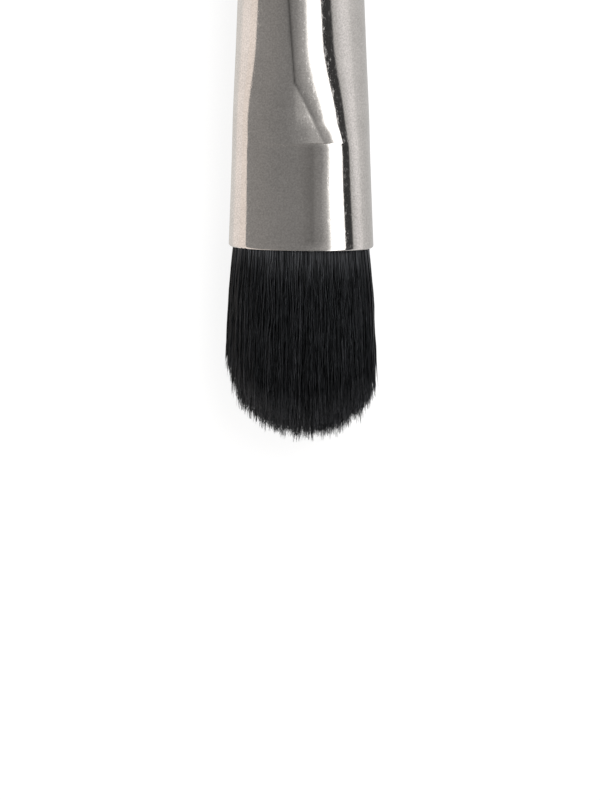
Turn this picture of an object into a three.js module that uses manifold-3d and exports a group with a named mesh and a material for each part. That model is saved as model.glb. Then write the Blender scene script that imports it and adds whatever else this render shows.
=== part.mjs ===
// Eyebrow brush: a domed, flat tuft of bristles in a pressed metal ferrule on a turned wooden handle.
// Millimetres, +Z up. The brush lies along Y on the barrel of its handle, tuft towards -Y, broad side up.
// The origin is under the middle of its length, on the surface that it lies on.

import * as THREE from "three";
import { mergeVertices } from "three/addons/utils/BufferGeometryUtils.js";
import Module from "manifold-3d";

const wasm = await Module();
wasm.setup();

// Ferrule: a drawn round tube, pressed flat towards its mouth
const TUBE_DIAMETER = 7.5;
const TUBE_WALL = 0.3;
const FERRULE_LENGTH = 34;
const MOUTH_WIDTH = 9.2;
const MOUTH_THICKNESS = 5.6;
const MOUTH_EDGE_ROUND = 0.2;
const PRESSED_LENGTH = 21; // the tube is round from here to the handle
const FLAT_LENGTH = 6.4; // the press has left its two broad faces flat this far behind the mouth
const FLAT_SWELL = 0.1; // each face rises this much along the flat
const SHOULDER_LENGTH = 4.4; // the steep step from the flat to the round tube's long taper
const SHOULDER_SWELL = 0.4;
const FLAT_SQUARENESS = 2.4; // exponent of the section: 2 is an ellipse, more is squarer
const CRIMP_PLACES = [26.5, 29.5]; // two rolled grooves that grip the handle's tenon
const CRIMP_DEPTH = 0.22;
const CRIMP_HALF_WIDTH = 0.7;

// Handle: turned wood, its tenon glued and crimped into the ferrule
const TENON_DIAMETER = 6.1;
const TENON_LENGTH = 15;
const TENON_CHAMFER = 0.5;
const BARREL_DIAMETER = 8.4;
const BARREL_END = 80; // distances along the brush are measured from the ferrule's mouth
const HANDLE_END = 155;
const TAIL_DIAMETER = 5;
const TAIL_ROUND = 1;
const SHOULDER_ROUND = 0.3;
const TAPER_POWER = 1.5;

// Inside the ferrule: potted hair roots, the thread that ties them, and the two glue joints
const BOND_GAP = 0.08;
const ROOTS_START = 1.8;
const ROOTS_END = 9;
const EPOXY_END = 13;
const TIE_PLACE = 6.6;
const TIE_WIDTH = 1.2;
const TIE_THICKNESS = 0.45;
const GLUE_START = 19.6;
const GLUE_END = 25;

// Tuft: bristles on a thin backing just inside the mouth, free to flex about it
const BACKING_WIDTH = 7.9;
const BACKING_THICKNESS = 3.9;
const BACKING_OUTER = 0.45;
const BACKING_INNER = 0.9;
const BACKING_SPLIT = 0.08;
const TUFT_LENGTH = 12.2;
const TUFT_SIDE_LENGTH = 7.9; // length of the shortest bristles, round the tuft's rim
const TUFT_WIDTH = 9.8;
const TUFT_THICKNESS = 5.7;
const TUFT_FLARE = 1.9; // the tuft opens from the backing's size to its own over about this length
const COLUMN_PITCH = 0.28;
const ROW_PITCH = 0.24;
const ROWS_PER_GROUP = 4;
const BRISTLE_SIDES = 3;
const BRISTLE_ROOT_RADIUS = 0.115;
const BRISTLE_RADIUS = 0.15;
const BRISTLE_BEND_AT = 2.2; // the first ring beyond the backing, where the flare eases
const BRISTLE_TAPER_FROM = 0.8; // share of a bristle's length after which it tapers to its point
const BRISTLE_UNEVENNESS = 0.2;

// Facets
const TUBE_SIDES = 36;
const HANDLE_SIDES = 28;
const STATION_STEP = 2.65;
const CRIMP_STEPS = 4;
const TAPER_STEPS = 8;
const ROUND_STEPS = 3;

// Derived sizes
const TUBE_RADIUS = TUBE_DIAMETER / 2;
const BARREL_RADIUS = BARREL_DIAMETER / 2;
const TAIL_RADIUS = TAIL_DIAMETER / 2;
const TENON_RADIUS = TENON_DIAMETER / 2;
const TENON_START = FERRULE_LENGTH - TENON_LENGTH;
const HANDLE_PHASE = Math.PI / HANDLE_SIDES; // turns the barrel so that a facet faces straight down
const AXIS_HEIGHT = BARREL_RADIUS * Math.cos(HANDLE_PHASE);
const MOUTH_PLACE = (TUFT_LENGTH - HANDLE_END) / 2;

const { clamp, lerp } = THREE.MathUtils;

// Finishes
const nickel = new THREE.MeshStandardMaterial({ color: 0xb3aea8, roughness: 0.2, metalness: 1 });
const lacquer = new THREE.MeshStandardMaterial({ color: 0x0c0b0b, roughness: 0.15, metalness: 0 });
const bristle = new THREE.MeshStandardMaterial({ color: 0x17171a, roughness: 0.5, metalness: 0 });
const pottedRoots = new THREE.MeshStandardMaterial({ color: 0x241f19, roughness: 0.6, metalness: 0 });
const epoxy = new THREE.MeshStandardMaterial({ color: 0xc9a45c, roughness: 0.3, metalness: 0 });
const thread = new THREE.MeshStandardMaterial({ color: 0xd9d2c2, roughness: 0.9, metalness: 0 });
const woodGlue = new THREE.MeshStandardMaterial({ color: 0xe6d9b0, roughness: 0.4, metalness: 0 });

// The pressed tube's outer half width, half thickness and squareness, at a distance behind the mouth
function tubeSection(place) {
  const pressed = clamp(1 - place / PRESSED_LENGTH, 0, 1);
  const shoulderEnd = FLAT_LENGTH + SHOULDER_LENGTH;
  const alongFlat = clamp(place / FLAT_LENGTH, 0, 1);
  const alongShoulder = clamp((place - FLAT_LENGTH) / SHOULDER_LENGTH, 0, 1);
  const alongTaper = clamp((place - shoulderEnd) / (PRESSED_LENGTH - shoulderEnd), 0, 1);
  const taperSwell = TUBE_RADIUS - MOUTH_THICKNESS / 2 - FLAT_SWELL - SHOULDER_SWELL;
  return {
    halfWidth: lerp(TUBE_RADIUS, MOUTH_WIDTH / 2, pressed),
    halfThickness:
      MOUTH_THICKNESS / 2 + FLAT_SWELL * alongFlat + SHOULDER_SWELL * alongShoulder + taperSwell * alongTaper,
    squareness: lerp(FLAT_SQUARENESS, 2, alongShoulder),
  };
}

// Presses a piece turned about Y, as the tube is pressed. A point keeps its depth below the tube's surface.
function press(geometry) {
  const position = geometry.getAttribute("position");
  for (let i = 0; i < position.count; i++) {
    const radius = Math.hypot(position.getX(i), position.getZ(i));
    if (radius < 1e-6) continue;
    const section = tubeSection(position.getY(i));
    const depth = TUBE_RADIUS - radius;
    const across = position.getX(i) / radius;
    const up = position.getZ(i) / radius;
    const power = 2 / section.squareness;
    position.setX(i, Math.sign(across) * Math.abs(across) ** power * (section.halfWidth - depth));
    position.setZ(i, Math.sign(up) * Math.abs(up) ** power * (section.halfThickness - depth));
  }
  return geometry;
}

// How far the crimps draw the tube's wall in, at a distance behind the mouth
function crimpAt(place) {
  const nearest = Math.min(...CRIMP_PLACES.map((crimp) => Math.abs(place - crimp)));
  const share = clamp(nearest / CRIMP_HALF_WIDTH, 0, 1);
  return (CRIMP_DEPTH * (1 + Math.cos(Math.PI * share))) / 2;
}

// Places between two distances behind the mouth where a wall of the tube needs a ring
function stations(from, to) {
  const pressSteps = Math.ceil(PRESSED_LENGTH / STATION_STEP);
  const places = Array.from({ length: pressSteps + 1 }, (_, i) => (PRESSED_LENGTH * i) / pressSteps);
  places.push(FLAT_LENGTH, FLAT_LENGTH + SHOULDER_LENGTH);
  for (const crimp of CRIMP_PLACES) {
    for (let i = 0; i <= CRIMP_STEPS; i++) {
      places.push(crimp + CRIMP_HALF_WIDTH * ((2 * i) / CRIMP_STEPS - 1));
    }
  }
  const least = 0.2;
  const inside = places.filter((place) => place > from + least && place < to - least).sort((a, b) => a - b);
  return [from, ...inside.filter((place, i) => i === 0 || place - inside[i - 1] > least), to];
}

// A line along the tube at a depth below its outer surface, as points of a profile to be turned about Y
function wallLine(depth, from, to) {
  return stations(from, to).map((place) => new THREE.Vector2(TUBE_RADIUS - depth - crimpAt(place), place));
}

function onAxis(place) {
  return new THREE.Vector2(0, place);
}

function quarterRound(centre, radius, startAngle) {
  return Array.from({ length: ROUND_STEPS + 1 }, (_, i) => {
    const angle = startAngle + (Math.PI / 2) * (i / ROUND_STEPS);
    return new THREE.Vector2(centre.x + radius * Math.cos(angle), centre.y + radius * Math.sin(angle));
  });
}

function turnedPiece(profile, sides = TUBE_SIDES, phase = 0) {
  return new THREE.LatheGeometry(profile, sides, phase);
}

function closedRing(outerLine, innerLine) {
  const profile = [...outerLine, ...innerLine.reverse()];
  return [...profile, profile[0].clone()];
}

function named(name, geometry, material) {
  const mesh = new THREE.Mesh(geometry, material);
  mesh.name = name;
  return mesh;
}

// Solids that are joined or cut
function solidFrom(geometry) {
  const bare = geometry.clone();
  bare.deleteAttribute("normal");
  bare.deleteAttribute("uv");
  const merged = mergeVertices(bare, 1e-4);
  const vertProperties = new Float32Array(merged.getAttribute("position").array);
  const triVerts = new Uint32Array(merged.index.array);
  return new wasm.Manifold(new wasm.Mesh({ numProp: 3, vertProperties, triVerts }));
}

function geometryFrom(solid) {
  const { vertProperties, triVerts } = solid.getMesh();
  const geometry = new THREE.BufferGeometry();
  geometry.setAttribute("position", new THREE.BufferAttribute(new Float32Array(vertProperties), 3));
  geometry.setIndex(new THREE.BufferAttribute(new Uint32Array(triVerts), 1));
  geometry.computeVertexNormals();
  return geometry;
}

function ferrule() {
  const edgeCentre = new THREE.Vector2(TUBE_RADIUS - MOUTH_EDGE_ROUND, MOUTH_EDGE_ROUND);
  const mouthEdge = quarterRound(edgeCentre, MOUTH_EDGE_ROUND, -Math.PI / 2);
  const outside = [...mouthEdge, ...wallLine(0, MOUTH_EDGE_ROUND, FERRULE_LENGTH).slice(1)];
  const inside = wallLine(TUBE_WALL, 0, FERRULE_LENGTH);
  return named("ferrule", press(turnedPiece(closedRing(outside, inside))), nickel);
}

function handle() {
  const shoulder = FERRULE_LENGTH + BOND_GAP;
  const barrelEdge = new THREE.Vector2(BARREL_RADIUS - SHOULDER_ROUND, shoulder + SHOULDER_ROUND);
  const tailEdge = new THREE.Vector2(TAIL_RADIUS - TAIL_ROUND, HANDLE_END - TAIL_ROUND);
  const taper = Array.from({ length: TAPER_STEPS + 1 }, (_, i) => {
    const share = i / TAPER_STEPS;
    const radius = lerp(BARREL_RADIUS, TAIL_RADIUS, share ** TAPER_POWER);
    return new THREE.Vector2(radius, lerp(BARREL_END, HANDLE_END - TAIL_ROUND, share));
  });
  const profile = [
    onAxis(TENON_START),
    new THREE.Vector2(TENON_RADIUS - TENON_CHAMFER, TENON_START),
    new THREE.Vector2(TENON_RADIUS, TENON_START + TENON_CHAMFER),
    new THREE.Vector2(TENON_RADIUS, shoulder),
    ...quarterRound(barrelEdge, SHOULDER_ROUND, -Math.PI / 2),
    ...taper,
    ...quarterRound(tailEdge, TAIL_ROUND, 0).slice(1),
    onAxis(HANDLE_END),
  ];
  return named("handle", turnedPiece(profile, HANDLE_SIDES, HANDLE_PHASE), lacquer);
}

function handleGlue() {
  const outside = wallLine(TUBE_WALL + BOND_GAP, GLUE_START, GLUE_END);
  const inside = [GLUE_START, GLUE_END].map((place) => new THREE.Vector2(TENON_RADIUS + BOND_GAP, place));
  return named("handle_glue", turnedPiece(closedRing(outside, inside)), woodGlue);
}

// The bundle of hair roots, set hard in resin, with a groove drawn in by its tie
function rootBundle() {
  const depth = TUBE_WALL + BOND_GAP;
  const grooveDepth = depth + TIE_THICKNESS + 2 * BOND_GAP;
  const groove = [TIE_PLACE - TIE_WIDTH / 2 - BOND_GAP, TIE_PLACE + TIE_WIDTH / 2 + BOND_GAP];
  const profile = [
    onAxis(ROOTS_START),
    ...wallLine(depth, ROOTS_START, groove[0]),
    ...wallLine(grooveDepth, ...groove),
    ...wallLine(depth, groove[1], ROOTS_END),
    onAxis(ROOTS_END),
  ];
  return named("root_bundle", press(turnedPiece(profile)), pottedRoots);
}

function rootTie() {
  const ends = [TIE_PLACE - TIE_WIDTH / 2, TIE_PLACE + TIE_WIDTH / 2];
  const depth = TUBE_WALL + 2 * BOND_GAP;
  const ring = closedRing(wallLine(depth, ...ends), wallLine(depth + TIE_THICKNESS, ...ends));
  return named("root_tie", press(turnedPiece(ring)), thread);
}

function epoxyPlug() {
  const from = ROOTS_END + BOND_GAP;
  const profile = [onAxis(from), ...wallLine(TUBE_WALL + BOND_GAP, from, EPOXY_END), onAxis(EPOXY_END)];
  return named("epoxy_plug", press(turnedPiece(profile)), epoxy);
}

// Half width and half thickness of the space that the bristles' middles fill, this far out from the mouth
function tuftSection(out) {
  const open = 1 - Math.exp(-Math.max(out + BACKING_OUTER, 0) / TUFT_FLARE);
  return {
    halfWidth: lerp(BACKING_WIDTH, TUFT_WIDTH - 2 * BRISTLE_RADIUS, open) / 2,
    halfThickness: lerp(BACKING_THICKNESS, TUFT_THICKNESS - 2 * BRISTLE_RADIUS, open) / 2,
  };
}

// One bristle as rings of points from inside the backing to its tip. across and up are its place in the
// tuft's section, from -1 to 1, and it keeps that place along its length, so no two bristles cross.
function bristleRings(across, up, unevenness) {
  const dome = Math.sqrt(Math.max(0, 1 - across ** 2 - up ** 2));
  const tip = lerp(TUFT_SIDE_LENGTH, TUFT_LENGTH, dome) - BRISTLE_UNEVENNESS * unevenness;
  const root = -(BACKING_OUTER + BACKING_INNER) / 2;
  const rings = [
    [root, BRISTLE_ROOT_RADIUS],
    [BRISTLE_BEND_AT, BRISTLE_RADIUS],
    [tip * BRISTLE_TAPER_FROM, BRISTLE_RADIUS],
  ];
  const centre = (out) => {
    const section = tuftSection(out);
    return new THREE.Vector3(across * section.halfWidth, -out, up * section.halfThickness);
  };
  const points = rings.flatMap(([out, radius]) =>
    Array.from({ length: BRISTLE_SIDES }, (_, i) => {
      const angle = (2 * Math.PI * i) / BRISTLE_SIDES;
      return centre(out).add(new THREE.Vector3(radius * Math.sin(angle), 0, radius * Math.cos(angle)));
    }),
  );
  return { points: [...points, centre(tip)], ringCount: rings.length };
}

// Bristles joined in one geometry, each a closed tapering spike
function bristleGeometry(bristles) {
  const positions = [];
  const faces = [];
  for (const { points, ringCount } of bristles) {
    const first = positions.length / 3;
    for (const point of points) positions.push(...point.toArray());
    const corner = (ring, side) => first + ring * BRISTLE_SIDES + (side % BRISTLE_SIDES);
    const tip = first + ringCount * BRISTLE_SIDES;
    for (let side = 0; side < BRISTLE_SIDES; side++) {
      for (let ring = 0; ring < ringCount - 1; ring++) {
        faces.push(corner(ring, side), corner(ring + 1, side), corner(ring + 1, side + 1));
        faces.push(corner(ring, side), corner(ring + 1, side + 1), corner(ring, side + 1));
      }
      faces.push(corner(ringCount - 1, side), tip, corner(ringCount - 1, side + 1));
    }
    faces.push(corner(0, 0), corner(0, 1), corner(0, 2));
  }
  const geometry = new THREE.BufferGeometry();
  geometry.setAttribute("position", new THREE.Float32BufferAttribute(positions, 3));
  geometry.setIndex(faces);
  return geometry;
}

// The bristles of one row across the tuft, at a height above its middle plane
function bristleRow(row, height) {
  const up = height / (BACKING_THICKNESS / 2);
  const reach = (BACKING_WIDTH / 2) * Math.sqrt(Math.max(0, 1 - up ** 2));
  const offset = row % 2 === 0 ? 0 : COLUMN_PITCH / 2;
  const places = [];
  for (let x = offset; x <= reach; x += COLUMN_PITCH) places.push(...(x > 0 ? [-x, x] : [x]));
  return places.map((x, i) => bristleRings(x / (BACKING_WIDTH / 2), up, Math.abs(Math.sin(7 * row + 3 * i))));
}

// A quarter of the tuft: a layer of rows across it, on its own slice of the backing
function bristleGroup(name, firstRow) {
  const heights = Array.from({ length: ROWS_PER_GROUP }, (_, i) => (firstRow + i + 0.5) * ROW_PITCH);
  const bristles = heights.flatMap((height, i) => bristleRow(firstRow + i, height));
  const margin = BRISTLE_RADIUS;
  const disc = new THREE.CylinderGeometry(1, 1, BACKING_INNER - BACKING_OUTER, TUBE_SIDES);
  disc.scale(BACKING_WIDTH / 2 + margin, 1, BACKING_THICKNESS / 2 + margin);
  disc.translate(0, (BACKING_INNER + BACKING_OUTER) / 2, 0);
  const layerHeight = ROWS_PER_GROUP * ROW_PITCH;
  const layer = new THREE.BoxGeometry(2 * BACKING_WIDTH, 2 * BACKING_INNER, layerHeight - BACKING_SPLIT);
  layer.translate(0, BACKING_INNER, (firstRow + ROWS_PER_GROUP / 2) * ROW_PITCH);
  const slice = solidFrom(disc).intersect(solidFrom(layer));
  return named(name, geometryFrom(slice.add(solidFrom(bristleGeometry(bristles)))), bristle);
}

const brush = new THREE.Group();
brush.position.set(0, MOUTH_PLACE, AXIS_HEIGHT);
brush.add(handle(), ferrule(), handleGlue(), rootBundle(), rootTie(), epoxyPlug());
const layers = ["bristles_back", "bristles_inner_back", "bristles_inner_front", "bristles_front"];
layers.forEach((name, i) => brush.add(bristleGroup(name, (i - layers.length / 2) * ROWS_PER_GROUP)));

const eyebrowBrush = new THREE.Group();
eyebrowBrush.add(brush);

export default eyebrowBrush;
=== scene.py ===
import math

import bpy
from mathutils import Matrix, Vector


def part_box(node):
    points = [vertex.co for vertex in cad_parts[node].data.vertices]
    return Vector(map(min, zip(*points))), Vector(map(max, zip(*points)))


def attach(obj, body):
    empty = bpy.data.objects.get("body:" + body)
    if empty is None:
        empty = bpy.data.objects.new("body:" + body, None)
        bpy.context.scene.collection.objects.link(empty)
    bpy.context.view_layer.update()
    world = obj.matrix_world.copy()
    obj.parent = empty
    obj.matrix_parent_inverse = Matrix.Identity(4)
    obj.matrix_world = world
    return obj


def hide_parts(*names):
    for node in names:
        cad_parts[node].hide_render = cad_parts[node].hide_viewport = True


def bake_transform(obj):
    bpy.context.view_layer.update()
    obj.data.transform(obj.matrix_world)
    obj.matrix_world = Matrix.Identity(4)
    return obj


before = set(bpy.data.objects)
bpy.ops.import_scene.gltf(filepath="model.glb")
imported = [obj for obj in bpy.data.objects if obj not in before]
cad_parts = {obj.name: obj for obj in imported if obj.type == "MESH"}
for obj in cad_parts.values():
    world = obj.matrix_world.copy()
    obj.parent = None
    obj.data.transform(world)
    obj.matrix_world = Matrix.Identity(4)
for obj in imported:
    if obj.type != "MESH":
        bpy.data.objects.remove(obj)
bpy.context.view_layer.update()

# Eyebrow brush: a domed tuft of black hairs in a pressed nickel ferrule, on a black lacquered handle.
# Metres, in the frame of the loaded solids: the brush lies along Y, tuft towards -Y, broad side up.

MM = 0.001

# Places that the solids give
FERRULE_LOW, FERRULE_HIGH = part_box("ferrule")
HANDLE_LOW, HANDLE_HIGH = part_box("handle")
MOUTH_Y = FERRULE_LOW[1]
AXIS_Z = (FERRULE_LOW[2] + FERRULE_HIGH[2]) / 2
FERRULE_LENGTH = FERRULE_HIGH[1] - FERRULE_LOW[1]
TENON_START = HANDLE_LOW[1] - MOUTH_Y
HANDLE_END = HANDLE_HIGH[1] - MOUTH_Y
BARREL_RADIUS = AXIS_Z

# Ferrule: a round tube pressed flat towards its mouth
TUBE_RADIUS = 3.75 * MM
TUBE_WALL = 0.3 * MM
MOUTH_HALF_WIDTH = 4.6 * MM
MOUTH_HALF_THICKNESS = 2.8 * MM
PRESSED_LENGTH = 21 * MM
FLAT_LENGTH = 6.4 * MM
FLAT_SWELL = 0.1 * MM
SHOULDER_LENGTH = 4.4 * MM
SHOULDER_SWELL = 0.4 * MM
MOUTH_SQUARENESS = 2.15
FLAT_SQUARENESS = 2.4
FAR_SQUARENESS = 2.5
FACE_SKEW = 0.06
FOLD_BEND_PLACE = 10.65 * MM
FOLD_LEAN_BELOW = 0.475
FOLD_LEAN_ABOVE = 0.067
FOLD_DEPTH = 0.005 * MM
FACET_SLOPE = 0.075
FACET_RISE_FROM = 1.1 * MM
FACET_RISE = 57.0
FACET_END = 6.8 * MM
JAW_STEP = 0.12 * MM
LIP_ROUND = 0.15 * MM
CRIMP_PLACES = (26.5 * MM, 29.5 * MM)
CRIMP_DEPTH = 0.22 * MM
CRIMP_HALF_WIDTH = 0.7 * MM

# Mesh of the ferrule: its sides, drawn closer on the broad faces, and the steps from ring to ring
FERRULE_SIDES = 288
SIDES_CROWDING = 0.4
MARKS_END = 12 * MM
MARKS_STEP = 0.11 * MM
EDGE_STEP = 0.0125 * MM
TAPER_STEP = 0.25 * MM
CRIMP_STEP = 0.1 * MM
TAIL_STEP = 1 * MM

# Handle
TENON_RADIUS = 3.05 * MM
BARREL_LENGTH = 46 * MM
TAIL_RADIUS = 2.5 * MM
TAIL_ROUND = 1.0 * MM
SHOULDER_ROUND = 0.35 * MM
SHOULDER_GAP = 0.08 * MM
TAPER_POWER = 1.5
HANDLE_SIDES = 128

# Tuft
HAIR_COUNT = 9000
HAIR_RADIUS = 0.031 * MM
HAIR_LAYERS = {
    "hairs_back": ("bristles_back", -1.1, -0.49),
    "hairs_inner_back": ("bristles_inner_back", -0.49, 0.0),
    "hairs_inner_front": ("bristles_inner_front", 0.0, 0.49),
    "hairs_front": ("bristles_front", 0.49, 1.1),
}
ROOT_DEPTH = 1.4 * MM
MOUTH_CLEARANCE = 0.04 * MM
TUFT_HALF_WIDTH = 4.77 * MM
TUFT_HALF_THICKNESS = 2.85 * MM
TUFT_SIDE_LENGTH = 8.4 * MM
TUFT_DOME = 4.15 * MM

# Photograph: its scale and height, how far its middle is from the middle of the mouth, and the view
PIXEL = 0.063 * MM
IMAGE_HEIGHT = 800
MIDDLE_FROM_MOUTH = 9.75 * MM
MIDDLE_ASIDE = -1 * PIXEL
VIEW_FROM_TAIL = math.radians(8)
VIEW_FROM_RIGHT = math.radians(7)
CAMERA_LENS = 320
CAMERA_SENSOR = 36


class Tree:
    """Adds nodes to a node tree and feeds their sockets, from other nodes or with values."""

    def __init__(self, tree):
        self.tree = tree

    def feed(self, socket, value):
        if isinstance(value, bpy.types.NodeSocket):
            self.tree.links.new(value, socket)
        else:
            socket.default_value = value

    def node(self, kind, inputs=None, **settings):
        node = self.tree.nodes.new(kind)
        for name, value in settings.items():
            setattr(node, name, value)
        for key, value in (inputs or {}).items():
            self.feed(node.inputs[key], value)
        return node

    def math(self, operation, *values):
        node = self.node("ShaderNodeMath", operation=operation)
        for socket, value in zip(node.inputs, values):
            self.feed(socket, value)
        return node.outputs[0]

    def add(self, a, b):
        return self.math("ADD", a, b)

    def subtract(self, a, b):
        return self.math("SUBTRACT", a, b)

    def multiply(self, a, b):
        return self.math("MULTIPLY", a, b)

    def divide(self, a, b):
        return self.math("DIVIDE", a, b)

    def scaled(self, value, factor, plus):
        return self.math("MULTIPLY_ADD", value, factor, plus)

    def rest(self, share):
        return self.subtract(1.0, share)

    def between(self, a, b, share):
        return self.scaled(self.subtract(b, a), share, a)

    def smooth_share(self, value, low, high):
        node = self.node("ShaderNodeMapRange", interpolation_type="SMOOTHSTEP")
        for socket, given in zip(node.inputs, (value, low, high, 0.0, 1.0)):
            self.feed(socket, given)
        return node.outputs[0]

    def signed_power(self, value, power):
        size = self.math("POWER", self.math("ABSOLUTE", value), power)
        return self.multiply(self.math("SIGN", value), size)

    def xyz(self, x, y, z):
        return self.node("ShaderNodeCombineXYZ", {0: x, 1: y, 2: z}).outputs[0]


# Geometry Nodes


def shape_tree(name, sizes):
    """A Geometry Nodes tree with an input for each named size, and the sockets to read them by."""
    group = bpy.data.node_groups.new(name, "GeometryNodeTree")
    group.interface.new_socket("Geometry", in_out="INPUT", socket_type="NodeSocketGeometry")
    group.interface.new_socket("Geometry", in_out="OUTPUT", socket_type="NodeSocketGeometry")
    for size, value in sizes.items():
        kind = "NodeSocketInt" if isinstance(value, int) else "NodeSocketFloat"
        group.interface.new_socket(size, in_out="INPUT", socket_type=kind)
    group.interface.new_socket("Finish", in_out="INPUT", socket_type="NodeSocketMaterial")
    tree = Tree(group)
    given = tree.node("NodeGroupInput")
    return tree, {socket.name: socket for socket in given.outputs if socket.name}


def end_tree(tree, geometry, finish):
    """Ends a tree with its instances made real and its finish set."""
    real = tree.node("GeometryNodeRealizeInstances", {"Geometry": geometry})
    finished = tree.node("GeometryNodeSetMaterial", {"Geometry": real.outputs[0], "Material": finish})
    tree.node("NodeGroupOutput", {"Geometry": finished.outputs[0]})


def shaped(obj, tree, sizes, material):
    """Runs a tree on an object with these sizes, and leaves the result as a plain mesh."""
    modifier = obj.modifiers.new(tree.tree.name, "NODES")
    modifier.node_group = tree.tree
    for socket in tree.tree.interface.items_tree:
        if socket.in_out != "INPUT":
            continue
        if socket.name in sizes:
            modifier[socket.identifier] = sizes[socket.name]
        elif socket.name == "Finish":
            modifier[socket.identifier] = material
    bpy.context.view_layer.update()
    depsgraph = bpy.context.evaluated_depsgraph_get()
    mesh = bpy.data.meshes.new_from_object(
        obj.evaluated_get(depsgraph), preserve_all_data_layers=True, depsgraph=depsgraph
    )
    obj.modifiers.clear()
    obj.data = mesh
    mesh.name = obj.name
    return obj


def new_object(name, mesh):
    obj = bpy.data.objects.new(name, mesh)
    bpy.context.scene.collection.objects.link(obj)
    return obj


def turned(name, profile, sides, closed, lift=(0, 0, 0), crowding=0.0):
    """A mesh turned about Y from a profile of (radius, place) points, running outwards side first.
    A profile that isn't closed starts and ends on the axis. Crowding draws the sides closer above
    and below."""
    points, faces, rings = [], [], []
    for radius, place in profile:
        if radius < 1e-9:
            rings.append([len(points)] * sides)
            points.append((lift[0], lift[1] + place, lift[2]))
            continue
        rings.append(range(len(points), len(points) + sides))
        for side in range(sides):
            angle = 2 * math.pi * side / sides
            angle -= crowding / 2 * math.sin(2 * angle)
            points.append(
                (lift[0] + radius * math.sin(angle), lift[1] + place, lift[2] + radius * math.cos(angle))
            )
    following = rings[1:] + (rings[:1] if closed else [])
    for ring, beyond in zip(rings, following):
        for side in range(sides):
            after = (side + 1) % sides
            corners = [ring[side], ring[after], beyond[after], beyond[side]]
            faces.append(list(dict.fromkeys(corners)))
    mesh = bpy.data.meshes.new(name)
    mesh.from_pydata(points, [], faces)
    mesh.shade_smooth()
    return new_object(name, mesh)


def arc(centre, radius, start, end, steps):
    """Points of an arc as (radius, place), from one angle to another in degrees."""
    angles = [math.radians(start + (end - start) * i / steps) for i in range(steps + 1)]
    return [(centre[0] + radius * math.cos(a), centre[1] + radius * math.sin(a)) for a in angles]


def steps_between(low, high, step):
    count = max(1, round((high - low) / step))
    return [low + (high - low) * i / count for i in range(count + 1)]


# Finishes


def finish(name, **values):
    """A new material, its tree, its shader with these values set, and Object coordinates."""
    material = bpy.data.materials.new(name)
    material.use_nodes = True
    tree = Tree(material.node_tree)
    shader = material.node_tree.nodes["Principled BSDF"]
    for socket, value in values.items():
        shader.inputs[socket.replace("_", " ")].default_value = value
    place = tree.node("ShaderNodeTexCoord").outputs["Object"]
    return material, tree, shader, place


def stretched(tree, place, scale):
    return tree.node("ShaderNodeMapping", {"Vector": place, "Scale": scale}).outputs[0]


def noise(tree, place, scale, detail=2.0, rough=0.5):
    inputs = {"Vector": place, "Scale": scale, "Detail": detail, "Roughness": rough}
    return tree.node("ShaderNodeTexNoise", inputs).outputs[0]


def ramp(tree, value, stops):
    node = tree.node("ShaderNodeValToRGB", {0: value})
    elements = node.color_ramp.elements
    while len(elements) < len(stops):
        elements.new(0.5)
    for element, (place, colour) in zip(elements, stops):
        element.position = place
        element.color = (*colour, 1.0)
    return node.outputs[0]


def level(tree, value, low, high, out_low, out_high):
    node = tree.node("ShaderNodeMapRange")
    for socket, given in zip(node.inputs, (value, low, high, out_low, out_high)):
        tree.feed(socket, given)
    return node.outputs[0]


def bump(tree, shader, height, distance):
    inputs = {"Height": height, "Distance": distance, "Strength": 1.0}
    tree.feed(shader.inputs["Normal"], tree.node("ShaderNodeBump", inputs).outputs[0])


def polished_nickel():
    """Bright warm-grey plate with a fine satin grain, pits and light scratches, and painted shade darkening
    its creases.
    """
    material, tree, shader, place = finish("polished_nickel", Metallic=1.0)
    grain = noise(tree, place, 9000.0, 2.0, 0.6)
    tarnish = noise(tree, place, 350.0, 3.0)
    tone = tree.add(tree.multiply(grain, 0.75), tree.multiply(tarnish, 0.25))
    bright = ramp(tree, tone, [(0.3, (0.58, 0.56, 0.54)), (0.7, (0.87, 0.84, 0.815))])
    # Painted shade: along the creases of the fold and the jaw step, the base colour is mixed towards
    # near-black.
    painted_crease_shade = tree.node("ShaderNodeAttribute", attribute_name="painted_crease_shade").outputs["Fac"]
    painted_shade_share = tree.multiply(painted_crease_shade, 0.9)
    painted_shade = tree.node("ShaderNodeMix", {0: painted_shade_share, 6: bright, 7: (0.12, 0.115, 0.11, 1)}, data_type="RGBA")
    tree.feed(shader.inputs["Base Color"], painted_shade.outputs[2])
    drawn = noise(tree, stretched(tree, place, (9000.0, 250.0, 9000.0)), 1.0, 2.0)
    scratch = noise(tree, stretched(tree, place, (6500.0, 2600.0, 6500.0)), 1.0, 3.0, 0.6)
    scratched = level(tree, scratch, 0.54, 0.7, 0.0, 0.15)
    tree.feed(shader.inputs["Roughness"], tree.add(level(tree, drawn, 0.3, 0.7, 0.06, 0.1), scratched))
    pit = tree.node("ShaderNodeTexVoronoi", {"Vector": place, "Scale": 3800.0}).outputs["Distance"]
    pitted = level(tree, pit, 0.05, 0.2, 0.0, 1.0)
    swell = noise(tree, place, 420.0, 1.0)
    height = tree.scaled(swell, 1.0, tree.scaled(grain, 0.16, tree.multiply(pitted, 0.4)))
    bump(tree, shader, height, 0.0000035)
    return material


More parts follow.
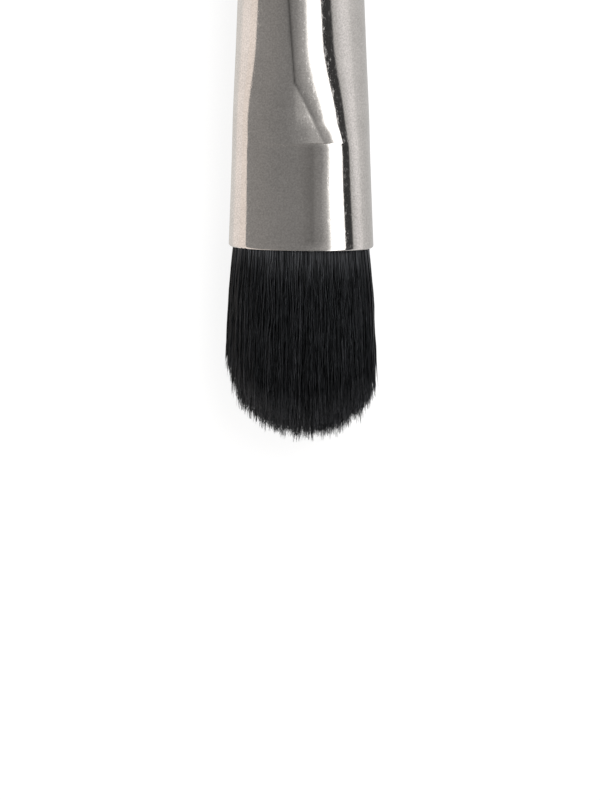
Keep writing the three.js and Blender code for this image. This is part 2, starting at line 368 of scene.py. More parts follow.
def black_lacquer():
    """Deep black gloss lacquer over turned wood, whose grain shows only as the faintest streaks."""
    coat = {"Coat_Weight": 1.0, "Coat_Roughness": 0.06, "Coat_IOR": 1.5}
    material, tree, shader, place = finish("black_lacquer", Roughness=0.32, Specular_IOR_Level=0.1, **coat)
    grain = noise(tree, stretched(tree, place, (1400.0, 45.0, 1400.0)), 1.0, 4.0, 0.6)
    colour = ramp(tree, grain, [(0.35, (0.006, 0.0055, 0.0055)), (0.75, (0.016, 0.013, 0.012))])
    tree.feed(shader.inputs["Base Color"], colour)
    peel = noise(tree, place, 900.0, 2.0)
    bump(tree, shader, tree.add(peel, tree.multiply(grain, 0.5)), 0.000006)
    return material


def dark_hair():
    """Black hairs, each a little different in tone, with painted glints as paler dashes along them. A
    painted highlight pales them near the roots, painted light pales them at the tips, and they are less
    glossy at the tips."""
    material, tree, shader, _ = finish(
        "dark_hair", IOR=1.5, Specular_IOR_Level=0.26, Specular_Tint=(0.88, 0.95, 1, 1)
    )
    tone = tree.node("ShaderNodeAttribute", attribute_name="hair_tone").outputs["Fac"]
    along = tree.node("ShaderNodeAttribute", attribute_name="hair_along").outputs["Fac"]
    colour = ramp(
        tree,
        tone,
        [(0.0, (0.001, 0.0011, 0.0015)), (0.6, (0.002, 0.0022, 0.003)), (1.0, (0.024, 0.024, 0.027))],
    )
    # Painted glints: paler dashes along each hair, in its base colour.
    spread = tree.xyz(tree.multiply(tone, 900.0), tree.multiply(along, 18.0), 0.0)
    glint = level(tree, noise(tree, spread, 1.0, 4.0, 0.7), 0.54, 0.76, 0.0, 0.24)
    paler = tree.multiply(tone, tone)
    # Painted highlight: the base colour pales near the roots, more on the paler hairs.
    near_root = tree.math("POWER", level(tree, along, 0.1, 0.4, 1.0, 0.0), 2.5)
    root_painted_highlight = tree.multiply(near_root, tree.scaled(paler, 1.15, 0.2))
    # Painted light: the base colour pales towards the tips, more on the paler hairs.
    tip_painted_light = tree.multiply(level(tree, along, 0.88, 1.0, 0.0, 0.45), tree.scaled(paler, 1.7, 0.2))
    pale = tree.math("MAXIMUM", tree.math("MAXIMUM", root_painted_highlight, glint), tip_painted_light)
    # Painted light: the glints, the root highlight and the tips mix the base colour towards a pale bluish
    # grey.
    with_painted_light = tree.node("ShaderNodeMix", {0: pale, 6: colour, 7: (0.145, 0.149, 0.16, 1)}, data_type="RGBA")
    tree.feed(shader.inputs["Base Color"], with_painted_light.outputs[2])
    tree.feed(shader.inputs["Roughness"], level(tree, along, 0.0, 1.0, 0.34, 0.46))
    return material


def wound_thread():
    material, tree, shader, place = finish("wound_thread", Roughness=0.85)
    turns = tree.node(
        "ShaderNodeTexWave", {"Vector": place, "Scale": 1600.0, "Distortion": 0.4}, bands_direction="Y"
    ).outputs[1]
    colour = ramp(tree, turns, [(0.2, (0.45, 0.42, 0.35)), (0.8, (0.75, 0.71, 0.62))])
    tree.feed(shader.inputs["Base Color"], colour)
    bump(tree, shader, turns, 0.00006)
    return material


def set_resin():
    material, tree, shader, place = finish("set_resin", Roughness=0.2)
    cloud = noise(tree, place, 600.0, 3.0)
    colour = ramp(tree, cloud, [(0.3, (0.42, 0.26, 0.08)), (0.7, (0.62, 0.42, 0.16))])
    tree.feed(shader.inputs["Base Color"], colour)
    bump(tree, shader, cloud, 0.00002)
    return material


def dried_glue():
    material, tree, shader, place = finish("dried_glue", Roughness=0.4)
    cloud = noise(tree, place, 900.0, 3.0)
    colour = ramp(tree, cloud, [(0.3, (0.7, 0.6, 0.36)), (0.7, (0.82, 0.75, 0.52))])
    tree.feed(shader.inputs["Base Color"], colour)
    bump(tree, shader, cloud, 0.00003)
    return material


def potted_hair():
    material, tree, shader, place = finish("potted_hair", Roughness=0.5)
    strands = noise(tree, stretched(tree, place, (9000.0, 120.0, 9000.0)), 1.0, 2.0)
    colour = ramp(tree, strands, [(0.35, (0.006, 0.005, 0.004)), (0.7, (0.04, 0.03, 0.02))])
    tree.feed(shader.inputs["Base Color"], colour)
    bump(tree, shader, strands, 0.00004)
    return material


# Pieces


def fading(tree, distance, reach):
    """1 at a line, falling away sharply on both sides of it."""
    return tree.math("EXPONENT", tree.divide(tree.math("ABSOLUTE", distance), -reach))


def press_marks(tree, given, aside, place):
    """How deep the press has marked the outside of each broad face, how much painted shade darkens its
    creases there, and how much of the face's skew shows. A fold runs down the taper and turns out towards
    one edge.
    Beside it a facet slopes down to the fold and ends sharply, and nearer the mouth the jaws leave a step."""

    def past_end(low, high):
        """The share of the way between two places, which are millimetres from the facet's end."""
        end = given["Facet end"]
        return tree.smooth_share(place, tree.add(end, low * MM), tree.add(end, high * MM))

    above = tree.subtract(place, given["Fold bend place"])
    below = tree.multiply(above, -1.0)
    leaning = tree.multiply(tree.math("MAXIMUM", below, 0.0), given["Fold lean below"])
    drifting = tree.multiply(tree.math("MAXIMUM", above, 0.0), given["Fold lean above"])
    from_fold = tree.subtract(aside, tree.subtract(leaning, drifting))
    beyond_fold = tree.math("MAXIMUM", from_fold, 0.0)
    facet_edge = past_end(-0.03, 0.03)
    fading_out = tree.smooth_share(place, 15 * MM, given["Pressed length"])
    ends = tree.multiply(facet_edge, tree.rest(fading_out))

    # Facet, which slopes down, turns up again near the fold and eases out beyond it
    across_facet = tree.math("MINIMUM", tree.math("MAXIMUM", aside, 0.0), leaning)
    slope = tree.multiply(tree.multiply(across_facet, given["Facet slope"]), past_end(0.5, 1.9))
    rise = tree.math("MAXIMUM", tree.subtract(across_facet, given["Facet rise from"]), 0.0)
    rise = tree.multiply(tree.multiply(tree.multiply(rise, rise), given["Facet rise"]), facet_edge)
    facet = tree.multiply(tree.subtract(slope, rise), fading(tree, beyond_fold, 0.8 * MM))
    valley = tree.multiply(tree.multiply(fading(tree, from_fold, 0.12 * MM), given["Fold depth"]), ends)

    # Step that the jaws leave on the flat
    on_flat = tree.multiply(tree.smooth_share(place, 0.1 * MM, 0.8 * MM), tree.rest(past_end(-0.3, 0.0)))
    far_edge = tree.smooth_share(aside, -3.3 * MM, -0.6 * MM)
    pressed_in = tree.rest(tree.smooth_share(aside, 0.0, 2 * MM))
    step = tree.multiply(tree.multiply(tree.multiply(pressed_in, far_edge), on_flat), given["Jaw step"])

    # Painted shade darkening the creases along the fold, mostly its upper part, and along the step
    upper = tree.smooth_share(above, -1 * MM, 0.0)
    fold_painted_shade = tree.multiply(ends, tree.between(0.25, 1.0, upper))
    fold_painted_shade = tree.multiply(fading(tree, from_fold, 0.08 * MM), fold_painted_shade)
    step_side = tree.rest(tree.smooth_share(aside, 1.05 * MM, 1.3 * MM))
    step_painted_shade = tree.multiply(tree.smooth_share(aside, 0.0, 1.05 * MM), step_side)
    painted_shade = tree.math("MAXIMUM", fold_painted_shade, tree.multiply(tree.multiply(step_painted_shade, on_flat), 0.3))

    # Skew of the flat, which ends slowly on the far side, sharply at the facet and late beyond the fold
    sharply = tree.smooth_share(aside, -0.9 * MM, 0.5 * MM)
    towards_fold = tree.between(past_end(-1.6, 1.6), facet_edge, sharply)
    closeness = tree.rest(tree.math("MINIMUM", tree.divide(beyond_fold, 1.4 * MM), 1.0))
    closeness = tree.multiply(closeness, closeness)
    unskewed = tree.between(past_end(0.4, 1.5), towards_fold, closeness)
    near_end = tree.multiply(past_end(-3.3, -0.5), tree.rest(past_end(-0.3, 0.3)))
    off_facet = tree.rest(tree.multiply(facet_edge, closeness))
    outward = tree.multiply(tree.smooth_share(aside, 0.3 * MM, 1.8 * MM), near_end)
    skewed = tree.scaled(tree.multiply(outward, off_facet), 0.4, tree.rest(unskewed))
    return tree.add(tree.add(facet, valley), step), painted_shade, skewed


def press_tree():
    """Presses a tube turned about Y from round to flat. A point keeps its depth in the tube's wall."""
    sizes = {
        "Tube radius": TUBE_RADIUS,
        "Tube wall": TUBE_WALL,
        "Mouth half width": MOUTH_HALF_WIDTH,
        "Mouth half thickness": MOUTH_HALF_THICKNESS,
        "Pressed length": PRESSED_LENGTH,
        "Flat length": FLAT_LENGTH,
        "Flat swell": FLAT_SWELL,
        "Shoulder length": SHOULDER_LENGTH,
        "Shoulder swell": SHOULDER_SWELL,
        "Mouth squareness": MOUTH_SQUARENESS,
        "Flat squareness": FLAT_SQUARENESS,
        "Far squareness": FAR_SQUARENESS,
        "Face skew": FACE_SKEW,
        "Fold bend place": FOLD_BEND_PLACE,
        "Fold lean below": FOLD_LEAN_BELOW,
        "Fold lean above": FOLD_LEAN_ABOVE,
        "Fold depth": FOLD_DEPTH,
        "Facet slope": FACET_SLOPE,
        "Facet rise from": FACET_RISE_FROM,
        "Facet rise": FACET_RISE,
        "Facet end": FACET_END,
        "Jaw step": JAW_STEP,
        "Mouth place": MOUTH_Y,
        "Axis height": AXIS_Z,
    }
    tree, given = shape_tree("Pressed tube", sizes)
    parts = tree.node("ShaderNodeSeparateXYZ", {0: tree.node("GeometryNodeInputPosition").outputs[0]})
    x, place, z = parts.outputs
    radius = tree.math("SQRT", tree.add(tree.multiply(x, x), tree.multiply(z, z)))
    depth = tree.subtract(given["Tube radius"], radius)

    narrowing = tree.divide(
        tree.subtract(given["Mouth half width"], given["Tube radius"]), given["Pressed length"]
    )
    tapering = tree.subtract(given["Mouth half width"], tree.multiply(narrowing, place))
    half_width = tree.math("SMOOTH_MAX", tapering, given["Tube radius"], 0.05 * MM)

    flat_rise = tree.divide(given["Flat swell"], given["Flat length"])
    on_flat = tree.scaled(flat_rise, place, given["Mouth half thickness"])
    flat_end = tree.add(given["Mouth half thickness"], given["Flat swell"])
    shoulder_rise = tree.divide(given["Shoulder swell"], given["Shoulder length"])
    on_shoulder = tree.scaled(shoulder_rise, tree.subtract(place, given["Flat length"]), flat_end)
    shoulder_end = tree.add(flat_end, given["Shoulder swell"])
    shoulder_place = tree.add(given["Flat length"], given["Shoulder length"])
    taper_length = tree.subtract(given["Pressed length"], shoulder_place)
    taper_rise = tree.divide(tree.subtract(given["Tube radius"], shoulder_end), taper_length)
    on_taper = tree.scaled(taper_rise, tree.subtract(place, shoulder_place), shoulder_end)
    half_thickness = tree.math("SMOOTH_MAX", on_flat, on_shoulder, 0.015 * MM)
    half_thickness = tree.math("SMOOTH_MIN", half_thickness, on_taper, 0.06 * MM)
    half_thickness = tree.math("SMOOTH_MIN", half_thickness, given["Tube radius"], 0.05 * MM)

    rounding = tree.smooth_share(place, 8 * MM, 13 * MM)
    facing = tree.math("SIGN", z)
    far_side = tree.math("GREATER_THAN", tree.multiply(x, facing), 0.0)
    from_mouth = tree.smooth_share(place, 0.5 * MM, 6.5 * MM)
    near_squareness = tree.between(given["Mouth squareness"], given["Flat squareness"], from_mouth)
    squareness = tree.between(near_squareness, given["Far squareness"], far_side)
    power = tree.divide(2.0, tree.between(squareness, 2.0, rounding))
    across = tree.signed_power(tree.divide(x, radius), power)
    up = tree.signed_power(tree.divide(z, radius), power)
    sideways = tree.multiply(across, tree.subtract(half_width, depth))
    mark, painted_crease_shade, skewed = press_marks(tree, given, tree.multiply(sideways, facing), place)
    face = tree.multiply(up, tree.subtract(half_thickness, depth))
    skew = tree.multiply(given["Face skew"], skewed)
    outside = tree.rest(tree.smooth_share(depth, 0.0, given["Tube wall"]))
    marked = tree.subtract(tree.multiply(sideways, skew), tree.multiply(facing, mark))
    face = tree.scaled(marked, outside, face)
    # Stores the painted crease shade, which the nickel finish reads to darken its base colour.
    painted_shade_stored = tree.node(
        "GeometryNodeStoreNamedAttribute",
        {"Geometry": given["Geometry"], "Name": "painted_crease_shade", "Value": painted_crease_shade},
        data_type="FLOAT",
        domain="POINT",
    )
    pressed = tree.xyz(
        sideways, tree.add(place, given["Mouth place"]), tree.add(face, given["Axis height"])
    )
    moved = tree.node("GeometryNodeSetPosition", {"Geometry": painted_shade_stored.outputs[0], "Position": pressed})
    end_tree(tree, moved.outputs[0], given["Finish"])
    return tree, sizes


def crimp_at(place):
    """How far the crimps draw the tube's wall in."""
    nearest = min(abs(place - crimp) for crimp in CRIMP_PLACES)
    share = min(nearest / CRIMP_HALF_WIDTH, 1.0)
    return CRIMP_DEPTH * (1 + math.cos(math.pi * share)) / 2


def make_ferrule(nickel):
    first_crimp, last_crimp = min(CRIMP_PLACES), max(CRIMP_PLACES)
    places = (
        steps_between(LIP_ROUND, FACET_END - 0.15 * MM, MARKS_STEP)
        + steps_between(FACET_END - 0.05 * MM, FACET_END + 0.05 * MM, EDGE_STEP)
        + steps_between(FACET_END + 0.15 * MM, MARKS_END, MARKS_STEP)
        + steps_between(MARKS_END + TAPER_STEP, PRESSED_LENGTH + 1 * MM, TAPER_STEP)
        + steps_between(first_crimp - CRIMP_HALF_WIDTH, last_crimp + CRIMP_HALF_WIDTH, CRIMP_STEP)
        + steps_between(last_crimp + CRIMP_HALF_WIDTH + 0.6 * MM, FERRULE_LENGTH - 0.1 * MM, TAIL_STEP)
    )
    outside = [(TUBE_RADIUS - crimp_at(place), place) for place in places]
    inside = [(TUBE_RADIUS - TUBE_WALL - crimp_at(place), place) for place in reversed(places[::2])]
    lip = arc((TUBE_RADIUS - LIP_ROUND, LIP_ROUND), LIP_ROUND, -180, 0, 10)
    tail_edge = [(TUBE_RADIUS - 0.05 * MM, FERRULE_LENGTH), (TUBE_RADIUS - TUBE_WALL, FERRULE_LENGTH)]
    profile = lip + outside[1:] + tail_edge + inside[:-1]
    tube = turned("ferrule_shell", profile, FERRULE_SIDES, closed=True, crowding=SIDES_CROWDING)
    tree, sizes = press_tree()
    shaped(tube, tree, sizes, nickel)
    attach(tube, "brush_body")
    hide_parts("ferrule")


def make_handle(lacquer):
    shoulder = FERRULE_LENGTH + SHOULDER_GAP
    barrel_end = shoulder + BARREL_LENGTH
    tail = HANDLE_END - TAIL_ROUND
    taper = []
    for share in steps_between(0, 1, 0.025):
        radius = BARREL_RADIUS + (TAIL_RADIUS - BARREL_RADIUS) * share**TAPER_POWER
        taper.append((radius, barrel_end + (tail - barrel_end) * share))
    profile = [
        (0, TENON_START),
        (TENON_RADIUS - 0.5 * MM, TENON_START),
        (TENON_RADIUS, TENON_START + 0.5 * MM),
        (TENON_RADIUS, shoulder - 0.2 * MM),
        (TENON_RADIUS + 0.2 * MM, shoulder),
        *arc((BARREL_RADIUS - SHOULDER_ROUND, shoulder + SHOULDER_ROUND), SHOULDER_ROUND, -90, 0, 6),
        *taper,
        *arc((TAIL_RADIUS - TAIL_ROUND, tail), TAIL_ROUND, 0, 90, 8)[1:],
        (0, HANDLE_END),
    ]
    handle = turned("handle_turned", profile, HANDLE_SIDES, closed=False, lift=(0, MOUTH_Y, AXIS_Z))
    handle.data.materials.append(lacquer)
    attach(handle, "brush_body")
    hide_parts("handle")


def hair_tree():
    """A layer of the tuft. Hairs stand in a spiral that fills the mouth evenly, keep their place in the
    tuft's section as it opens, lean together in small clumps and end in a dome of fine points."""
    sizes = {
        "Hair count": HAIR_COUNT,
        "Layer from": 0.0,
        "Layer to": 1.0,
        "Hair radius": HAIR_RADIUS,
        "Points along a hair": 13,
        "Sides of a hair": 3,
        "Root depth": ROOT_DEPTH,
        "Mouth half width": MOUTH_HALF_WIDTH - TUBE_WALL - MOUTH_CLEARANCE,
        "Mouth half thickness": MOUTH_HALF_THICKNESS - TUBE_WALL - MOUTH_CLEARANCE,
        "Open half width": TUFT_HALF_WIDTH,
        "Open half thickness": TUFT_HALF_THICKNESS,
        "Flare length": 4 * MM,
        "Side length": TUFT_SIDE_LENGTH,
        "Dome height": TUFT_DOME,
        "Dome offset": 0.05,
        "Dome across thickness": 0.6,
        "Tip unevenness": 0.9 * MM,
        "Point unevenness": 0.85 * MM,
        "Tip closing": 0.1,
        "Clump lean": 0.08 * MM,
        "Stray lean": 0.09 * MM,
        "Wave height": 0.13 * MM,
        "Wave length": 2.4 * MM,
        "Point size": 0.21 * MM,
        "Point pull": 0.9,
        "Section squareness": FLAT_SQUARENESS,
        "Mouth place": MOUTH_Y,
        "Axis height": AXIS_Z,
        "Seed": 7,
    }
    tree, given = shape_tree("Hair layer", sizes)

    def random(low, high, salt):
        node = tree.node("FunctionNodeRandomValue", data_type="FLOAT")
        tree.feed(node.inputs[2], low)
        tree.feed(node.inputs[3], high)
        tree.feed(node.inputs["Seed"], tree.add(given["Seed"], salt))
        return node.outputs[1]

    def stored(geometry, name, value):
        node = tree.node("GeometryNodeStoreNamedAttribute", data_type="FLOAT", domain="POINT")
        for key, fed in (("Geometry", geometry), ("Name", name), ("Value", value)):
            tree.feed(node.inputs[key], fed)
        return node.outputs[0]

    def read(name):
        node = tree.node("GeometryNodeInputNamedAttribute", {"Name": name}, data_type="FLOAT")
        return node.outputs[0]

    # Roots, in a unit disc drawn out to the mouth's squarish section
    index = tree.node("GeometryNodeInputIndex").outputs[0]
    rim = tree.math("SQRT", tree.divide(tree.add(index, 0.5), given["Hair count"]))
    rim = tree.math("MINIMUM", tree.add(rim, random(-0.018, 0.018, 1)), 1.0)
    angle = tree.add(tree.multiply(index, math.pi * (3 - math.sqrt(5))), random(-0.03, 0.03, 2))
    power = tree.divide(2.0, given["Section squareness"])
    across = tree.multiply(rim, tree.signed_power(tree.math("COSINE", angle), power))
    up = tree.multiply(rim, tree.signed_power(tree.math("SINE", angle), power))
    roots = tree.node("GeometryNodePoints", {"Count": given["Hair count"]}).outputs[0]
    for name, value in (
        ("across", across),
        ("up", up),
        ("hair_tone", random(0.0, 1.0, 3)),
        ("uneven", random(0.0, 1.0, 4)),
        ("stray_across", random(-1.0, 1.0, 5)),
        ("stray_up", random(-1.0, 1.0, 6)),
        ("stoutness", random(0.8, 1.15, 7)),
        ("waywardness", random(0.0, 1.0, 8)),
    ):
        roots = stored(roots, name, value)
    outside = tree.math("GREATER_THAN", read("up"), given["Layer to"])
    below = tree.math("LESS_THAN", read("up"), given["Layer from"])
    chosen = tree.node(
        "GeometryNodeDeleteGeometry",
        {"Geometry": roots, "Selection": tree.math("MAXIMUM", outside, below)},
        domain="POINT",
    ).outputs[0]

    line = tree.node("GeometryNodeCurvePrimitiveLine").outputs[0]
    spaced = {"Curve": line, "Count": given["Points along a hair"]}
    strand = tree.node("GeometryNodeResampleCurve", spaced).outputs[0]
    planted = tree.node("GeometryNodeInstanceOnPoints", {"Points": chosen, "Instance": strand}).outputs[0]
    hairs = tree.node("GeometryNodeRealizeInstances", {"Geometry": planted}).outputs[0]
    along = tree.node("GeometryNodeSplineParameter").outputs["Factor"]
    hairs = stored(hairs, "hair_along", along)

    # Small groups of hairs, each of which ends in a point of its own
    across, up, along = read("across"), read("up"), read("hair_along")
    open_across = tree.multiply(across, given["Open half width"])
    open_up = tree.multiply(up, given["Open half thickness"])
    at_tip = tree.xyz(open_across, open_up, 0.0)
    group = tree.node(
        "ShaderNodeTexVoronoi",
        {"Vector": at_tip, "Scale": tree.divide(1.0, given["Point size"])},
        voronoi_dimensions="2D",
    )

    # Length: a dome over the section, its top a little to one side, with uneven hairs and points
    across_squared = tree.multiply(across, across)
    from_top = tree.scaled(tree.multiply(up, up), given["Dome across thickness"], across_squared)
    from_top = tree.subtract(from_top, tree.multiply(across, tree.multiply(given["Dome offset"], 2.0)))
    dome = tree.math("MAXIMUM", tree.rest(from_top), 0.0)
    dome = tree.math("SQRT", tree.math("MINIMUM", dome, 1.0))
    length = tree.scaled(dome, given["Dome height"], given["Side length"])
    uneven = tree.multiply(tree.math("POWER", read("uneven"), 2.0), -1.0)
    length = tree.scaled(uneven, given["Tip unevenness"], length)
    shorter = tree.node("ShaderNodeSeparateXYZ", {0: group.outputs["Color"]}).outputs[0]
    shorter = tree.math("POWER", shorter, 0.6)
    length = tree.subtract(length, tree.multiply(shorter, given["Point unevenness"]))
    whole = tree.add(length, given["Root depth"])
    out = tree.subtract(tree.multiply(along, whole), given["Root depth"])

    # The section opens beyond the mouth and closes a little towards the tip
    beyond = tree.math("MAXIMUM", out, 0.0)
    shut = tree.math("EXPONENT", tree.divide(tree.multiply(beyond, -1.0), given["Flare length"]))
    half_width = tree.between(given["Open half width"], given["Mouth half width"], shut)
    half_thickness = tree.between(given["Open half thickness"], given["Mouth half thickness"], shut)
    tip = tree.add(given["Side length"], given["Dome height"])
    late = tree.smooth_share(out, tree.multiply(given["Side length"], 0.6), tip)
    closing = tree.rest(tree.multiply(late, given["Tip closing"]))
    half_thickness = tree.multiply(half_thickness, closing)

    # Neighbours lean together in clumps, and each hair strays a little, a few of them more
    place = tree.xyz(tree.multiply(across, 9.0), tree.multiply(up, 5.5), tree.divide(out, 5 * MM))
    clump = tree.node("ShaderNodeTexNoise", {"Vector": place, "Scale": 1.0, "Detail": 2.0})
    lean = tree.node("ShaderNodeSeparateXYZ", {0: clump.outputs["Color"]})
    reach = tree.math("POWER", along, 2.0)
    wayward = tree.math("POWER", read("waywardness"), 40.0)
    stray = tree.multiply(given["Stray lean"], tree.scaled(wayward, 4.0, 1.0))

    # Each hair waves along its length, less at the tuft's two edges
    spread = tree.xyz(
        tree.multiply(read("waywardness"), 97.0),
        tree.divide(out, given["Wave length"]),
        tree.multiply(read("hair_tone"), 53.0),
    )
    ripple = tree.node("ShaderNodeTexNoise", {"Vector": spread, "Scale": 1.0, "Detail": 1.0})
    wave = tree.node("ShaderNodeSeparateXYZ", {0: ripple.outputs["Color"]})
    free = tree.smooth_share(out, 0.0, 2 * MM)
    at_edge = tree.math("POWER", tree.math("ABSOLUTE", across), 6.0)
    free = tree.multiply(free, tree.rest(tree.multiply(at_edge, 0.7)))

    # Towards the tip, the hairs of a group draw together into its point
    spot_across, spot_up = tree.multiply(across, half_width), tree.multiply(up, half_thickness)
    ends = {0: group.outputs["Position"], 1: at_tip}
    to_point = tree.node("ShaderNodeVectorMath", ends, operation="SUBTRACT")
    pull = tree.node("ShaderNodeSeparateXYZ", {0: to_point.outputs[0]})
    pulling = tree.multiply(tree.math("POWER", along, 5.0), given["Point pull"])

    def leaning_to(axis, stray_name):
        clump_lean = tree.multiply(given["Clump lean"], 4.0)
        together = tree.multiply(tree.subtract(lean.outputs[axis], 0.5), clump_lean)
        alone = tree.multiply(read(stray_name), stray)
        wave_height = tree.multiply(given["Wave height"], 4.0)
        waving = tree.multiply(tree.subtract(wave.outputs[axis], 0.5), wave_height)
        drawn = tree.multiply(pull.outputs[axis], pulling)
        return tree.add(drawn, tree.scaled(reach, tree.add(together, alone), tree.multiply(waving, free)))

    spot_across = tree.add(spot_across, leaning_to(0, "stray_across"))
    spot_up = tree.add(spot_up, leaning_to(1, "stray_up"))
    spot = tree.xyz(
        spot_across,
        tree.subtract(given["Mouth place"], out),
        tree.add(spot_up, given["Axis height"]),
    )
    hairs = tree.node("GeometryNodeSetPosition", {"Geometry": hairs, "Position": spot}).outputs[0]

    # Each hair thins to a fine tip
    thinning = tree.rest(tree.multiply(tree.smooth_share(along, 0.82, 1.0), 0.82))
    radius = tree.multiply(tree.multiply(given["Hair radius"], read("stoutness")), thinning)
    round_section = {"Resolution": given["Sides of a hair"], "Radius": 1.0}
    section = tree.node("GeometryNodeCurvePrimitiveCircle", round_section).outputs[0]
    mesh = tree.node(
        "GeometryNodeCurveToMesh",
        {"Curve": hairs, "Profile Curve": section, "Scale": radius, "Fill Caps": True},
    )
    smooth = tree.node("GeometryNodeSetShadeSmooth", {"Geometry": mesh.outputs[0]})
    end_tree(tree, smooth.outputs[0], given["Finish"])
    return tree, sizes


def make_tuft(hair):
    tree, sizes = hair_tree()
    for name, (node, low, high) in HAIR_LAYERS.items():
        layer = new_object(name, bpy.data.meshes.new(name))
        shaped(layer, tree, {**sizes, "Layer from": low, "Layer to": high}, hair)
        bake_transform(layer)
        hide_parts(node)


def finish_inner_pieces():
    inner = {
        "handle_glue": dried_glue(),
        "root_bundle": potted_hair(),
        "root_tie": wound_thread(),
        "epoxy_plug": set_resin(),
    }
    for node, material in inner.items():
        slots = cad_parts[node].data.materials
        slots.clear()
        slots.append(material)


# Setting

FLOOR_REACH = 8.0

# How bright the floor is in the metal, by millimetres to the right of the brush
FLOOR_GLOW = [
    (-120, (0.78, 0.70, 0.65)),
    (-18, (0.78, 0.70, 0.65)),
    (-11, (0.60, 0.575, 0.545)),
    (-1, (0.58, 0.56, 0.54)),
    (1, (0.37, 0.365, 0.36)),
    (11, (0.37, 0.365, 0.36)),
    (18, (0.41, 0.40, 0.395)),
    (50, (0.47, 0.46, 0.455)),
    (120, (0.56, 0.55, 0.54)),
]
FLOOR_GLOW_REACH = 120 * MM


def make_floor():
    """A plain floor that shows as white, and is darker only where the brush shades it. In the metal it
    shows warmer to the left, as the room there does."""
    mesh = bpy.data.meshes.new("floor")
    signs = [(-1, -1), (1, -1), (1, 1), (-1, 1)]
    mesh.from_pydata([(x * FLOOR_REACH, y * FLOOR_REACH, 0) for x, y in signs], [], [(0, 1, 2, 3)])
    floor = new_object("floor", mesh)
    material = bpy.data.materials.new("white_floor")
    material.use_nodes = True
    tree = Tree(material.node_tree)
    shader = material.node_tree.nodes["Principled BSDF"]
    shader.inputs["Base Color"].default_value = (0.2, 0.2, 0.2, 1)
    shader.inputs["Roughness"].default_value = 0.9
    shader.inputs["Specular IOR Level"].default_value = 0.0
    rays = tree.node("ShaderNodeLightPath").outputs
    mirrored = tree.math("MAXIMUM", rays["Is Glossy Ray"], rays["Is Transmission Ray"])
    place = tree.node("ShaderNodeSeparateXYZ", {0: tree.node("ShaderNodeTexCoord").outputs["Object"]})
    share = tree.scaled(place.outputs[0], 0.5 / FLOOR_GLOW_REACH, 0.5)
    stops = [(0.5 + 0.5 * right * MM / FLOOR_GLOW_REACH, shade) for right, shade in FLOOR_GLOW]
    colour = tree.node(
        "ShaderNodeMix", {0: mirrored, 6: (1, 1, 1, 1), 7: ramp(tree, share, stops)}, data_type="RGBA"
    )
    tree.feed(shader.inputs["Emission Color"], colour.outputs[2])
    tree.feed(shader.inputs["Emission Strength"], tree.scaled(rays["Is Camera Ray"], 0.87, mirrored))
    mesh.materials.append(material)


# How bright the studio is round the brush, by degrees from straight up towards +X
STUDIO = [
    (-90, (0.97, 0.87, 0.80)),
    (-73.8, (0.97, 0.87, 0.80)),
    (-72.8, (0.30, 0.29, 0.28)),
    (-40, (0.275, 0.265, 0.255)),
    (-14, (0.235, 0.23, 0.225)),
    (-4, (0.28, 0.275, 0.27)),
    (8, (0.50, 0.49, 0.48)),
    (11, (0.80, 0.79, 0.77)),
    (13.5, (1.6, 1.58, 1.56)),
    (15, (2.2, 2.18, 2.16)),
    (36, (2.2, 2.18, 2.16)),
    (37, (0.04, 0.04, 0.04)),
    (54, (0.05, 0.05, 0.05)),
    (57.5, (0.54, 0.53, 0.52)),
    (62, (0.62, 0.61, 0.60)),
    (69, (0.75, 0.735, 0.73)),
    (77, (0.845, 0.825, 0.82)),
    (90, (0.82, 0.80, 0.795)),
]
STUDIO_PEAK = 2.2

# Soft panel light, by its width and length, its distance from the mouth and the angles that place it
LAMP_SIZE = (0.4, 0.75)
LAMP_BRIGHTNESS = 6.0
LAMP_DISTANCE = 1.0
LAMP_ASIDE = math.radians(33)
LAMP_ALONG = math.radians(27)


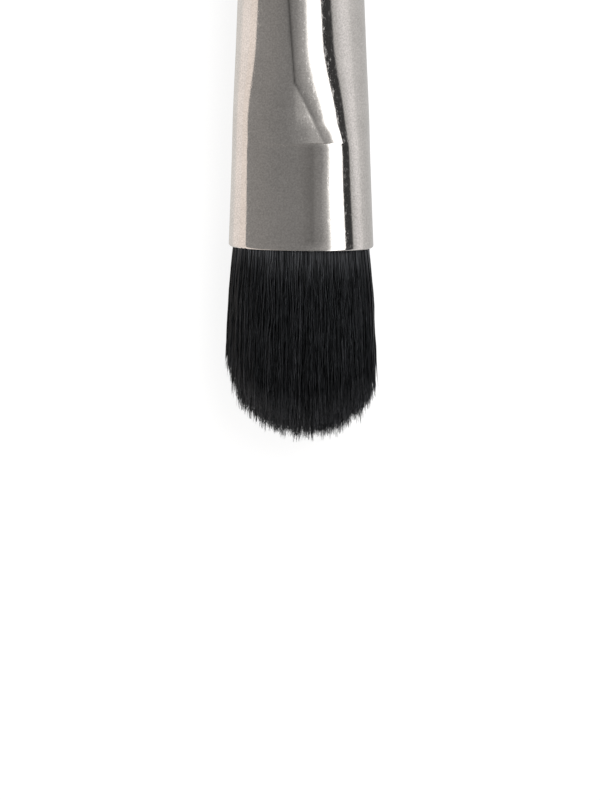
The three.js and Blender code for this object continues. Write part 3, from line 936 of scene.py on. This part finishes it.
def make_studio():
    """Grey room with a bright panel to one side, dark beside it, and pale low down."""
    world = bpy.data.worlds.new("studio")
    bpy.context.scene.world = world
    world.use_nodes = True
    tree = Tree(world.node_tree)
    background = world.node_tree.nodes["Background"]
    direction = tree.node("ShaderNodeTexCoord").outputs["Generated"]
    parts = tree.node("ShaderNodeSeparateXYZ", {0: direction})
    angle = tree.math("ARCTAN2", parts.outputs[0], parts.outputs[2])
    share = tree.scaled(angle, 1 / math.pi, 0.5)
    stops = [((degrees + 90) / 180, [c / STUDIO_PEAK for c in shade]) for degrees, shade in STUDIO]
    seen = tree.node("ShaderNodeLightPath").outputs["Is Camera Ray"]
    white = (1 / STUDIO_PEAK, 1 / STUDIO_PEAK, 1 / STUDIO_PEAK, 1)
    colour = tree.node("ShaderNodeMix", {0: seen, 6: ramp(tree, share, stops), 7: white}, data_type="RGBA")
    tree.feed(background.inputs["Color"], colour.outputs[2])
    background.inputs["Strength"].default_value = STUDIO_PEAK


def pointing(aside, along):
    """The direction that leans from straight up, by one angle to the right and one towards the tail."""
    level_part = math.cos(along)
    return Vector((math.sin(aside) * level_part, math.sin(along), math.cos(aside) * level_part))


def make_lamp():
    """A soft panel above and to the right of the brush, over its handle."""
    lamp = bpy.data.lights.new("panel_light", "AREA")
    lamp.shape = "RECTANGLE"
    lamp.size, lamp.size_y = LAMP_SIZE
    lamp.energy = LAMP_BRIGHTNESS * math.pi * lamp.size * lamp.size_y
    holder = bpy.data.objects.new("panel_light", lamp)
    bpy.context.scene.collection.objects.link(holder)
    away = pointing(LAMP_ASIDE, LAMP_ALONG)
    holder.location = Vector((0, MOUTH_Y, AXIS_Z)) + away * LAMP_DISTANCE
    holder.rotation_euler = (-away).to_track_quat("-Z", "Y").to_euler()


def make_camera():
    lens = bpy.data.cameras.new("camera")
    lens.sensor_width = CAMERA_SENSOR
    lens.lens = CAMERA_LENS
    lens.clip_start = 0.01
    camera = bpy.data.objects.new("camera", lens)
    bpy.context.scene.collection.objects.link(camera)
    back = pointing(VIEW_FROM_RIGHT, VIEW_FROM_TAIL)
    brush_way = Vector((0, 1, 0))
    upward = (brush_way - back * brush_way.dot(back)).normalized()
    rightward = upward.cross(back)
    distance = IMAGE_HEIGHT * PIXEL * CAMERA_LENS / CAMERA_SENSOR
    middle = Vector((MIDDLE_ASIDE, MOUTH_Y - MIDDLE_FROM_MOUTH, AXIS_Z))
    turn = Matrix((rightward, upward, back)).transposed().to_4x4()
    camera.matrix_world = Matrix.Translation(middle + back * distance) @ turn
    bpy.context.scene.camera = camera


make_camera()
make_floor()
make_studio()
make_lamp()
make_ferrule(polished_nickel())
make_handle(black_lacquer())
make_tuft(dark_hair())
finish_inner_pieces()
bpy.context.scene.view_settings.view_transform = "Standard"
